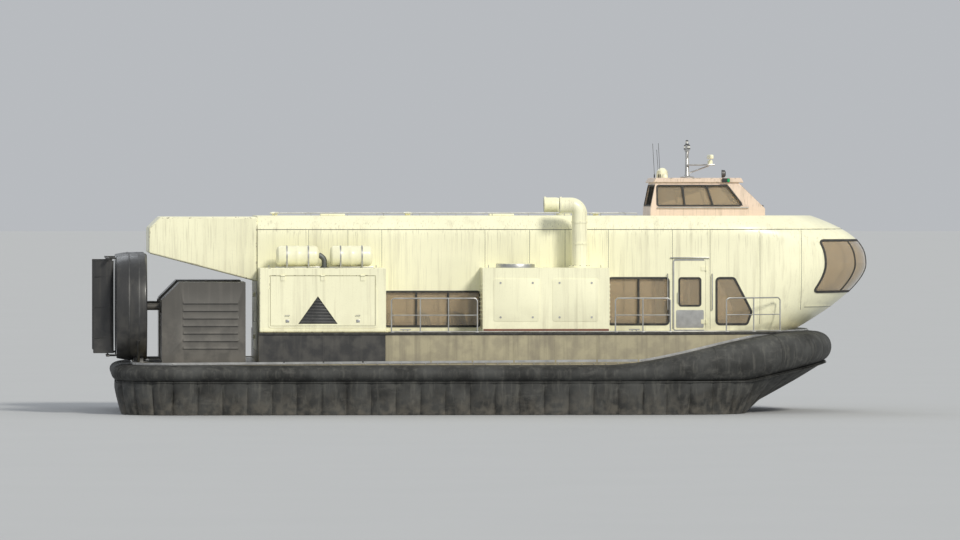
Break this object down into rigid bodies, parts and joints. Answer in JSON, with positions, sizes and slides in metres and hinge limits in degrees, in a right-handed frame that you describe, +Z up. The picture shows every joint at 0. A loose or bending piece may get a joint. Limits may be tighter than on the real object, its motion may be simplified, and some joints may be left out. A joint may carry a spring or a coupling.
{
  "type": "amphibious passenger hovercraft",
  "caption": "Passenger hovercraft with a bluff rounded cabin, roof wheelhouse, full skirt, deck fans and ducted stern propellers.",
  "frame": {"origin": "on the ground, under the middle of the craft's length and breadth", "axes": "+X to the bow, +Y to port, +Z up"},
  "size_m": [21.9997, 10, 7.7],
  "materials": {
    "white_paint": "gloss paint, warm white, weathered",
    "wheelhouse_paint": "satin paint, pale buff",
    "raft_paint": "satin paint, sand beige, salt stained",
    "grey_paint": "satin paint, dark grey, sooty",
    "black_paint": "satin paint, near black",
    "propeller_paint": "satin paint, near black with pale tips",
    "skirt_rubber": "coated fabric, matt, scuffed",
    "window_glass": "bronze tinted",
    "bare_metal": "dull, sea worn",
    "engine_iron": "painted grey",
    "seat_fabric": "woven cloth, blue"
  },
  "bodies": {
    "craft": {"raft_hull": "raft_paint", "landing_skid_port": "bare_metal", "landing_skid_starboard": "bare_metal", "skirt_bow": "skirt_rubber", "skirt_stern": "skirt_rubber", "skirt_port": "skirt_rubber", "skirt_starboard": "skirt_rubber", "cabin_side_port": "white_paint", "cabin_side_starboard": "white_paint", "cabin_nose": "white_paint", "cabin_roof": "white_paint", "aft_bulkhead": "white_paint", "aft_canopy": "white_paint", "side_glass_port": "window_glass", "side_glass_starboard": "window_glass", "quarter_glass_port": "window_glass", "quarter_glass_starboard": "window_glass", "nose_glass": "window_glass", "seats_port": "seat_fabric", "seats_starboard": "seat_fabric", "wheelhouse_shell": "wheelhouse_paint", "wheelhouse_roof": "wheelhouse_paint", "wheelhouse_glass": "window_glass", "helm_console": "black_paint", "helm_seats": "seat_fabric", "mast": "bare_metal", "fan_housing_port": "white_paint", "fan_housing_starboard": "white_paint", "engine_housing_port": "white_paint", "engine_housing_starboard": "white_paint", "engine_port": "engine_iron", "engine_starboard": "engine_iron", "drive_casing_port": "grey_paint", "drive_casing_starboard": "grey_paint", "liferafts_port": "white_paint", "liferafts_starboard": "white_paint", "deck_rail_port": "bare_metal", "deck_rail_starboard": "bare_metal", "duct_port": "black_paint", "duct_starboard": "black_paint"},
    "aft_door_leaf": {"aft_door": "white_paint"},
    "cabin_door_port_leaf": {"cabin_door_port": "white_paint"},
    "cabin_door_starboard_leaf": {"cabin_door_starboard": "white_paint"},
    "engine_door_port_leaf": {"engine_door_port": "white_paint"},
    "engine_door_starboard_leaf": {"engine_door_starboard": "white_paint"},
    "lift_fan_port_rotor": {"lift_fan_port": "bare_metal"},
    "lift_fan_starboard_rotor": {"lift_fan_starboard": "bare_metal"},
    "bow_thruster_port_head": {"bow_thruster_port": "white_paint"},
    "bow_thruster_starboard_head": {"bow_thruster_starboard": "white_paint"},
    "propeller_port_rotor": {"propeller_port": "propeller_paint"},
    "propeller_starboard_rotor": {"propeller_starboard": "propeller_paint"},
    "rudder_port_inner_blade": {"rudder_port_inner": "black_paint"},
    "rudder_port_outer_blade": {"rudder_port_outer": "black_paint"},
    "rudder_starboard_inner_blade": {"rudder_starboard_inner": "black_paint"},
    "rudder_starboard_outer_blade": {"rudder_starboard_outer": "black_paint"},
    "radar_rotor": {"radar_scanner": "white_paint"}
  },
  "joints": [
    {"name": "aft_door_hinge", "type": "hinge", "parent": "craft", "child": "aft_door_leaf", "pos_m": [-6.422, 0.404, 2.7], "axis": [0, 0, -1], "range_deg": [0, 100]},
    {"name": "cabin_door_port_hinge", "type": "hinge", "parent": "craft", "child": "cabin_door_port_leaf", "pos_m": [6.204, 3.022, 3.3], "axis": [0, 0, -1], "range_deg": [0, 110]},
    {"name": "cabin_door_starboard_hinge", "type": "hinge", "parent": "craft", "child": "cabin_door_starboard_leaf", "pos_m": [6.204, -3.022, 3.3], "axis": [0, 0, 1], "range_deg": [0, 110]},
    {"name": "engine_door_port_hinge", "type": "hinge", "parent": "craft", "child": "engine_door_port_leaf", "pos_m": [-4.615, 4.322, 3.884], "axis": [1, 0, 0], "range_deg": [0, 95]},
    {"name": "engine_door_starboard_hinge", "type": "hinge", "parent": "craft", "child": "engine_door_starboard_leaf", "pos_m": [-4.615, -4.322, 3.884], "axis": [-1, 0, 0], "range_deg": [0, 95]},
    {"name": "lift_fan_port_spin", "type": "hinge", "parent": "craft", "child": "lift_fan_port_rotor", "pos_m": [0.8, 3.65, 3], "axis": [0, 0, 1], "continuous": true},
    {"name": "lift_fan_starboard_spin", "type": "hinge", "parent": "craft", "child": "lift_fan_starboard_rotor", "pos_m": [0.8, -3.65, 3], "axis": [0, 0, 1], "continuous": true},
    {"name": "bow_thruster_port_swivel", "type": "hinge", "parent": "craft", "child": "bow_thruster_port_head", "pos_m": [2.6, 3.65, 4.5], "axis": [0, 0, 1], "range_deg": [-170, 170]},
    {"name": "bow_thruster_starboard_swivel", "type": "hinge", "parent": "craft", "child": "bow_thruster_starboard_head", "pos_m": [2.6, -3.65, 4.5], "axis": [0, 0, 1], "range_deg": [-170, 170]},
    {"name": "propeller_port_spin", "type": "hinge", "parent": "craft", "child": "propeller_port_rotor", "pos_m": [-9.76, 2.75, 3], "axis": [1, 0, 0], "continuous": true},
    {"name": "propeller_starboard_spin", "type": "hinge", "parent": "craft", "child": "propeller_starboard_rotor", "pos_m": [-9.76, -2.75, 3], "axis": [1, 0, 0], "continuous": true},
    {"name": "rudder_port_inner_turn", "type": "hinge", "parent": "craft", "child": "rudder_port_inner_blade", "pos_m": [-10.6, 2.19, 3], "axis": [0, 0, 1], "range_deg": [-30, 30]},
    {"name": "rudder_port_outer_turn", "type": "hinge", "parent": "craft", "child": "rudder_port_outer_blade", "pos_m": [-10.6, 3.31, 3], "axis": [0, 0, 1], "range_deg": [-30, 30]},
    {"name": "rudder_starboard_inner_turn", "type": "hinge", "parent": "craft", "child": "rudder_starboard_inner_blade", "pos_m": [-10.6, -2.19, 3], "axis": [0, 0, 1], "range_deg": [-30, 30]},
    {"name": "rudder_starboard_outer_turn", "type": "hinge", "parent": "craft", "child": "rudder_starboard_outer_blade", "pos_m": [-10.6, -3.31, 3], "axis": [0, 0, 1], "range_deg": [-30, 30]},
    {"name": "radar_spin", "type": "hinge", "parent": "craft", "child": "radar_rotor", "pos_m": [6.56, 0, 7.1], "axis": [0, 0, 1], "continuous": true}
  ],
  "couplings": [
    {"joint": "rudder_port_outer_turn", "follows": "rudder_port_inner_turn", "ratio": 1},
    {"joint": "rudder_starboard_inner_turn", "follows": "rudder_port_inner_turn", "ratio": 1},
    {"joint": "rudder_starboard_outer_turn", "follows": "rudder_port_inner_turn", "ratio": 1}
  ]
}
